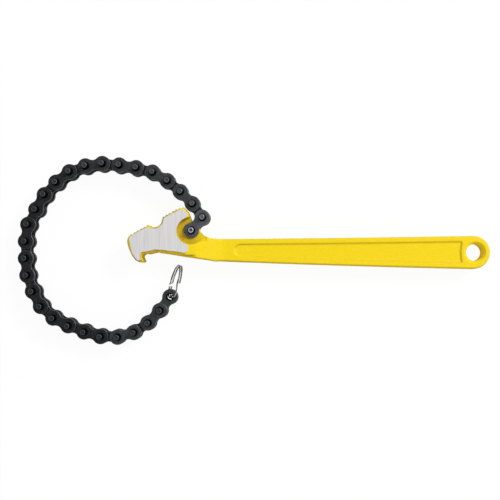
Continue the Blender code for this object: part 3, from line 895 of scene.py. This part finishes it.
def turned(name, profile, closed=False):
    """A turned part from its profile of radius, height, and wear and painted light, from the bottom up."""
    shape = bmesh.new()
    shape.verts.layers.float.new("wear")
    rows = []
    for radius, height, wear in profile:
        sides = ROUND_SIDES if radius else 1
        rows.append(worn_ring(shape, arc((0, 0), radius, 0, 2 * pi, sides)[:sides], height, wear))
    pairs = list(zip(rows, rows[1:]))
    if closed:
        pairs.append((rows[-1], rows[0]))
    for low, high in pairs:
        for i in range(ROUND_SIDES):
            corners = [low[i - 1], low[i]] if len(low) > 1 else [low[0]]
            corners += [high[i], high[i - 1]] if len(high) > 1 else [high[0]]
            shape.faces.new(corners)
    return closed_mesh(name, shape)


def pin_mesh(name, radius, half, brightness, centre=0.8):
    """A long pin with a dished, peened end and a rounded rim, which carries a painted highlight ring; its
    shank is darkened, a painted shade.
    """
    rim = radius * 0.24
    dish = radius * 0.1
    end = [
        # The rim's lower edge darkened, a painted shade
        (radius, half - rim, -1.0),
        (radius - rim * 0.12, half - rim * 0.5, -0.6),
        # The rounded rim's painted highlight ring, lighter than the end
        (radius - rim * 0.5, half - rim * 0.16, 0.45 + brightness),
        (radius - rim, half, 0.3 + brightness),
        (radius - rim * 1.3, half, brightness),
        (radius * 0.58, half, brightness * (0.7 + centre * 0.2)),
        (radius * 0.4, half - dish, brightness * centre),
        (0, half - dish * 1.3, brightness * centre * 0.7),
    ]
    # The shank darkened near black, a painted shade
    shank = [(radius, OUTER_PLATE[1], -0.9)]
    return turned(name, mirrored(shank + end) + shank + end)


def bush_mesh(name, radius, waist, mouth, half):
    """A bush with a small rounding at its mouths, and a bore that may narrow to a waist, darkened as a
    painted shade.
    """
    chamfer = (radius - mouth) * 0.3
    top = [
        (radius, half - chamfer, 0.0),
        (radius - chamfer, half, 0.6),
        (mouth + chamfer, half, 0.6),
        (mouth, half - chamfer, -1.0),
    ]
    rounding = half * 0.06
    # The bore darkened near black, a painted shade
    middle = [(waist, rounding, -1.0), (waist, -rounding, -1.0)]
    return turned(name, top + middle + mirrored(top), closed=True)


def new_tree(name, sockets):
    """A geometry tree with the named inputs, with its inputs' sockets and their identifiers."""
    tree = bpy.data.node_groups.new(name, "GeometryNodeTree")
    tree.interface.new_socket("Geometry", in_out="INPUT", socket_type="NodeSocketGeometry")
    tree.interface.new_socket("Geometry", in_out="OUTPUT", socket_type="NodeSocketGeometry")
    ids = {}
    for title, kind in sockets.items():
        ids[title] = tree.interface.new_socket(title, in_out="INPUT", socket_type=kind).identifier
    given = tree.nodes.new("NodeGroupInput").outputs
    return tree, given, ids


def end_tree(tree, geometry, material):
    """Every tree ends in real geometry with its material."""
    real = add_node(tree, "GeometryNodeRealizeInstances", None, {0: geometry})
    inputs = {"Geometry": real.outputs[0], "Material": material}
    painted = add_node(tree, "GeometryNodeSetMaterial", None, inputs)
    tree.links.new(painted.outputs[0], tree.nodes.new("NodeGroupOutput").inputs[0])


def object_in(tree, socket):
    """An object that a tree is given, as an instance."""
    info = add_node(tree, "GeometryNodeObjectInfo", None, {"Object": socket, "As Instance": True})
    return info.outputs["Geometry"]


def moved(tree, geometry, **inputs):
    """Geometry with a Translation, a Rotation or both."""
    return add_node(tree, "GeometryNodeTransform", None, {"Geometry": geometry, **inputs}).outputs[0]


def given_vector(tree, axis, value):
    """A vector along one axis from a number that a tree is given."""
    return add_node(tree, "ShaderNodeCombineXYZ", None, {axis: value}).outputs[0]


def link_tree():
    """A link from its plate, its two pins or bushes, and where it lies."""
    tree, given, ids = new_tree(
        "chain_link",
        {
            "Plate": "NodeSocketObject",
            "First Pin": "NodeSocketObject",
            "Second Pin": "NodeSocketObject",
            "Plate Height": "NodeSocketFloat",
            "Pitch": "NodeSocketFloat",
            "Place": "NodeSocketVector",
            "Heading": "NodeSocketRotation",
            "Material": "NodeSocketMaterial",
        },
    )
    plate = object_in(tree, given["Plate"])
    height = given_vector(tree, "Z", given["Plate Height"])
    inputs = {0: height, "Scale": -1.0}
    lowered = add_node(tree, "ShaderNodeVectorMath", {"operation": "SCALE"}, inputs).outputs[0]
    pitch = given_vector(tree, "X", given["Pitch"])
    joined = tree.nodes.new("GeometryNodeJoinGeometry")
    for piece in (
        moved(tree, plate, Translation=height),
        moved(tree, plate, Translation=lowered, Rotation=(pi, 0, 0)),
        object_in(tree, given["First Pin"]),
        moved(tree, object_in(tree, given["Second Pin"]), Translation=pitch),
    ):
        tree.links.new(piece, joined.inputs[0])
    laid = moved(tree, joined.outputs[0], Translation=given["Place"], Rotation=given["Heading"])
    end_tree(tree, laid, given["Material"])
    return tree, ids


def teeth_tree():
    """A tooth on every point."""
    sockets = {"Tooth": "NodeSocketObject", "Material": "NodeSocketMaterial"}
    tree, given, ids = new_tree("jaw_teeth", sockets)
    points = add_node(tree, "GeometryNodeMeshToPoints", None, {"Mesh": given["Geometry"]})
    inputs = {"Points": points.outputs[0], "Instance": object_in(tree, given["Tooth"])}
    teeth = add_node(tree, "GeometryNodeInstanceOnPoints", None, inputs)
    end_tree(tree, teeth.outputs[0], given["Material"])
    return tree, ids


def stored_in(tree, name):
    """A number that the geometry carries under a name."""
    return Term(tree, add_node(tree, "GeometryNodeInputNamedAttribute", None, {"Name": name}).outputs[0])


def stored(tree, geometry, name, kind, value):
    """Geometry that carries a value at each of its points under a name."""
    settings = {"data_type": kind, "domain": "POINT"}
    inputs = {"Geometry": geometry, "Name": name, "Value": value}
    return add_node(tree, "GeometryNodeStoreNamedAttribute", settings, inputs).outputs[0]


def wire_tree():
    """Round wire along a line of points, narrowed where the line's taper says so.

    Its surface carries the place of each point on the unrolled wire, for the drawing marks.
    """
    tree, given, ids = new_tree(
        "wire",
        {"Wire Radius": "NodeSocketFloat", "Sides": "NodeSocketInt", "Material": "NodeSocketMaterial"},
    )
    path = add_node(tree, "GeometryNodeMeshToCurve", None, {0: given["Geometry"]}).outputs[0]
    inputs = {"Curve": path, "Radius": stored_in(tree, "taper")}
    narrowed = add_node(tree, "GeometryNodeSetCurveRadius", None, inputs).outputs[0]
    inputs = {"Resolution": given["Sides"], "Radius": given["Wire Radius"]}
    section = add_node(tree, "GeometryNodeCurvePrimitiveCircle", None, inputs).outputs[0]
    share = Term(tree, add_node(tree, "GeometryNodeSplineParameter").outputs["Factor"])
    section = stored(tree, section, "turn", "FLOAT", share * (2 * pi))
    inputs = {"Curve": narrowed, "Profile Curve": section, "Fill Caps": True}
    wire = add_node(tree, "GeometryNodeCurveToMesh", None, inputs).outputs[0]
    turn = stored_in(tree, "turn")
    across, up = (turn.math(operation, turn) for operation in ("COSINE", "SINE"))
    inputs = {"X": across, "Y": up, "Z": stored_in(tree, "along")}
    place = add_node(tree, "ShaderNodeCombineXYZ", None, inputs).outputs[0]
    end_tree(tree, stored(tree, wire, "around", "FLOAT_VECTOR", place), given["Material"])
    return tree, ids


def grown(mesh, tree, ids, values, name):
    """What a geometry tree makes of a mesh with these values, as a plain mesh."""
    carrier = add_object(name, mesh)
    modifier = carrier.modifiers.new(tree.name, "NODES")
    modifier.node_group = tree
    for title, value in values.items():
        modifier[ids[title]] = value
    return plain_mesh(carrier, name)


def ring_points(settings):
    """Points along the ring's wire about the last bore, with the taper of its two cut ends."""
    step = settings.wire + settings.turn_gap
    reach = INNER_PLATE[1] + settings.lift
    centre = settings.radius - (settings.radius - sqrt(settings.radius**2 - reach**2)) / 2
    length = 4 * pi - settings.jog
    lean = Matrix.Rotation(settings.lean, 3, "X")
    cut = settings.wire * CUT_ROUNDING / settings.radius
    turns = [0, cut, *(length * i / RING_POINTS for i in range(1, RING_POINTS)), length - cut, length]
    points = []
    for turn in turns:
        share = min(1, max(0, (turn - 2 * pi + settings.jog) / settings.jog))
        across = step * (0.5 - share * share * (3 - 2 * share))
        angle = settings.end + turn
        x = centre + settings.radius * cos(angle)
        z = settings.lift + settings.radius * sin(angle)
        points.append(lean @ Vector((x, across, z)))
    tapers = [CUT_TAPER, *(1 for _ in turns[1:-1]), CUT_TAPER]
    return points, tapers


class WRENCH_OT_handle(bpy.types.Operator):
    """Make the forged handle with its painted skin and its two ground faces"""

    bl_idname = "wrench.handle"
    bl_label = "Forged Handle"

    def execute(self, context):
        settings = context.scene.wrench_handle
        paint = enamel_finish(settings.paint)
        mesh = forged_mesh(settings, paint)
        make_uneven(mesh, settings.unevenness)
        grind(mesh)
        mark_paint(mesh)
        soften(mesh)
        flatten_ground_faces(mesh)
        handle = add_object("forged_handle", mesh, (paint, ground_steel_finish(settings.steel)))
        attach(handle, "handle")
        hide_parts("handle")
        return {"FINISHED"}


class WRENCH_OT_chain(bpy.types.Operator):
    """Make every link of the chain, one piece for each"""

    bl_idname = "wrench.chain"
    bl_label = "Chain"

    def execute(self, context):
        settings = context.scene.wrench_chain
        oxide = black_oxide_finish(settings.oxide, settings.worn_and_highlight)
        tree, ids = link_tree()
        pin_hole = settings.pin_radius + settings.fit
        bush_hole = settings.bush_radius + settings.fit
        end_hole = settings.end_bush_radius + settings.fit
        end_bore = (settings.end_waist_radius, settings.end_mouth_radius)
        anchor_pin = pin_mesh("anchor_pin", settings.pin_radius, PIN_HALF, 1.4, 0.2)
        bush = bush_mesh("bush", settings.bush_radius, pin_hole, pin_hole, INNER_PLATE[1])
        end_bush = bush_mesh("end_bush", settings.end_bush_radius, *end_bore, INNER_PLATE[1])
        for i, body in enumerate(LINKS):
            start, end = PINS[i], PINS[i + 1]
            heading = atan2(end.y - start.y, end.x - start.x)
            if i % 2 == 0:
                plates, holes = OUTER_PLATE, (pin_hole, pin_hole)
                second = pin_mesh("pin", settings.pin_radius, PIN_HALF, pin_rub(i))
                first = second if i else anchor_pin
            elif i < len(LINKS) - 1:
                plates, holes = INNER_PLATE, (bush_hole, bush_hole)
                first = second = bush
            else:
                plates, holes = INNER_PLATE, (bush_hole, end_hole)
                first, second = bush, end_bush
            rubbed = 0 if second is bush else plate_rub(i)
            # The outer plates' holes get the painted shadow round the pins
            hole_wear_and_shadow = rubbed if i % 2 else PIN_SHADOW
            plate = rounded_plate("plate", settings, plates[1] - plates[0], holes, rubbed, hole_wear_and_shadow)
            sources = [add_object(mesh.name, mesh) for mesh in (plate, first, second)]
            values = {
                "Plate": sources[0],
                "First Pin": sources[1],
                "Second Pin": sources[2],
                "Plate Height": sum(plates) / 2,
                "Pitch": PITCH,
                "Place": start,
                "Heading": (0, 0, heading),
                "Material": oxide,
            }
            name = f"chain_{body}"
            mesh = grown(bpy.data.meshes.new(name), tree, ids, values, name)
            soften(mesh)
            link = add_object(name, mesh)
            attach(link, body)
            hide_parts(*(node for node in frame["nodes"] if node.startswith(body)))
            for source in sources:
                bpy.data.objects.remove(source)
        return {"FINISHED"}


class WRENCH_OT_ring(bpy.types.Operator):
    """Make the split ring in the chain's last bush"""

    bl_idname = "wrench.ring"
    bl_label = "Split Ring"

    def execute(self, context):
        settings = context.scene.wrench_ring
        points, tapers = ring_points(settings)
        last = PINS[-1] - PINS[-2]
        turn = Matrix.Rotation(atan2(last.y, last.x) + settings.bend, 3, "Z")
        points = [PINS[-1] + turn @ point for point in points]
        line = bpy.data.meshes.new("ring_line")
        line.from_pydata(points, [(i, i + 1) for i in range(len(points) - 1)], [])
        line.attributes.new("taper", "FLOAT", "POINT").data.foreach_set("value", tapers)
        along = [i * len(points) / RING_POINTS for i in range(len(points))]
        line.attributes.new("along", "FLOAT", "POINT").data.foreach_set("value", along)
        tree, ids = wire_tree()
        plating = plated_finish(settings.plate)
        values = {"Wire Radius": settings.wire / 2, "Sides": RING_SIDES, "Material": plating}
        mesh = grown(line, tree, ids, values, "wire_split_ring")
        soften(mesh)
        ring = add_object("wire_split_ring", mesh)
        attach(ring, "split_ring")
        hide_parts("split_ring")
        return {"FINISHED"}


class WRENCH_OT_stage(bpy.types.Operator):
    """Make the white floor, the soft light and the camera straight above"""

    bl_idname = "wrench.stage"
    bl_label = "Stage"

    def execute(self, context):
        settings = context.scene.wrench_stage
        add_floor(settings)
        add_sky(context.scene, settings)
        add_lamp(settings)
        add_camera(context.scene)
        context.scene.view_settings.view_transform = "Standard"
        return {"FINISHED"}


def seen_rays(tree):
    """1 for the rays that see the background: from the camera, in gloss and through glass."""
    path = tree.nodes.new("ShaderNodeLightPath")
    camera, glossy, clear = (
        Term(tree, path.outputs[f"Is {ray} Ray"]) for ray in ("Camera", "Glossy", "Transmission")
    )
    return (camera + glossy + clear).clamped()


def add_floor(settings):
    """A white floor just under the wrench, which keeps a little of its shadow."""
    half = settings.floor_size / 2
    under = -MERGE * 10
    corners = [(-half, -half, under), (half, -half, under), (half, half, under), (-half, half, under)]
    mesh = bpy.data.meshes.new("floor")
    mesh.from_pydata(corners, [], [(0, 1, 2, 3)])
    material = bpy.data.materials.new("white_floor")
    material.use_nodes = True
    tree = material.node_tree
    shader = tree.nodes["Principled BSDF"]
    shader.inputs["Base Color"].default_value = (0.9, 0.9, 0.9, 1)
    shader.inputs["Roughness"].default_value = 1
    shader.inputs["Specular IOR Level"].default_value = 0
    glow = add_node(tree, "ShaderNodeEmission", None, {"Color": (1, 1, 1), "Strength": 1.0})
    glowing = seen_rays(tree) * (1 - settings.shadow)
    inputs = {0: glowing, 1: shader.outputs[0], 2: glow.outputs[0]}
    mixed = add_node(tree, "ShaderNodeMixShader", None, inputs)
    tree.links.new(mixed.outputs[0], tree.nodes["Material Output"].inputs["Surface"])
    add_object("floor", mesh, (material,))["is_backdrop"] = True


def add_sky(scene, settings):
    """Even light from all round, with white behind the wrench."""
    world = bpy.data.worlds.new("studio")
    world.use_nodes = True
    tree = world.node_tree
    even = tree.nodes["Background"]
    even.inputs["Color"].default_value = (1, 1, 1, 1)
    even.inputs["Strength"].default_value = settings.sky
    white = add_node(tree, "ShaderNodeBackground", None, {"Color": (1, 1, 1), "Strength": 1.0})
    inputs = {0: seen_rays(tree), 1: even.outputs[0], 2: white.outputs[0]}
    mixed = add_node(tree, "ShaderNodeMixShader", None, inputs)
    tree.links.new(mixed.outputs[0], tree.nodes["World Output"].inputs["Surface"])
    scene.world = world


def add_lamp(settings):
    """A soft lamp over the upper right of the picture."""
    data = bpy.data.lights.new("soft_lamp", "AREA")
    data.shape = "DISK"
    data.size = LAMP_SIZE
    data.energy = settings.lamp
    lamp = bpy.data.objects.new("soft_lamp", data)
    lamp.location = LAMP_PLACE
    lamp.rotation_euler = (-lamp.location).to_track_quat("-Z", "Y").to_euler()
    bpy.context.scene.collection.objects.link(lamp)


def add_camera(scene):
    """Straight above, with the picture's axis where its perspective puts it."""
    data = bpy.data.cameras.new("camera")
    camera = bpy.data.objects.new("camera", data)
    scene.collection.objects.link(camera)
    across = (AXIS_PIXEL[0] - ANCHOR_PIXEL[0]) * PIXEL
    down = (AXIS_PIXEL[1] - ANCHOR_PIXEL[1]) * PIXEL
    camera.location = PINS[0] + Vector((across, -down, CAMERA_HEIGHT))
    data.sensor_width = SENSOR
    data.lens = SENSOR * CAMERA_HEIGHT / (PICTURE * PIXEL)
    data.shift_x = (PICTURE / 2 - AXIS_PIXEL[0]) / PICTURE
    data.shift_y = (AXIS_PIXEL[1] - PICTURE / 2) / PICTURE
    data.clip_start = 0.01
    data.clip_end = 20
    scene.camera = camera


class WRENCH_PT_panel(bpy.types.Panel):
    """Chain wrench pieces and their sizes"""

    bl_idname = "WRENCH_PT_panel"
    bl_label = "Chain Wrench"
    bl_space_type = "VIEW_3D"
    bl_region_type = "UI"
    bl_category = "Chain Wrench"

    def draw(self, context):
        for operator, group in PIECES:
            box = self.layout.box()
            box.operator(operator.bl_idname)
            settings = getattr(context.scene, group[0])
            for name in group[1].__annotations__:
                box.prop(settings, name)


PIECES = (
    (WRENCH_OT_handle, ("wrench_handle", HandleSettings)),
    (WRENCH_OT_chain, ("wrench_chain", ChainSettings)),
    (WRENCH_OT_ring, ("wrench_ring", RingSettings)),
    (WRENCH_OT_stage, ("wrench_stage", StageSettings)),
)


def register():
    for operator, (name, settings) in PIECES:
        bpy.utils.register_class(settings)
        bpy.utils.register_class(operator)
        setattr(bpy.types.Scene, name, bpy.props.PointerProperty(type=settings))
    bpy.utils.register_class(WRENCH_PT_panel)


def unregister():
    bpy.utils.unregister_class(WRENCH_PT_panel)
    for operator, (name, settings) in reversed(PIECES):
        delattr(bpy.types.Scene, name)
        bpy.utils.unregister_class(operator)
        bpy.utils.unregister_class(settings)


def main():
    register()
    bpy.ops.wrench.handle()
    bpy.ops.wrench.chain()
    bpy.ops.wrench.ring()
    bpy.ops.wrench.stage()
    bpy.context.view_layer.update()
    boxes = {"cad": cad_box, "visual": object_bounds()}
    boxes = {title: [list(corner) for corner in box] for title, box in boxes.items()}


if __name__ == "__main__":
    main()
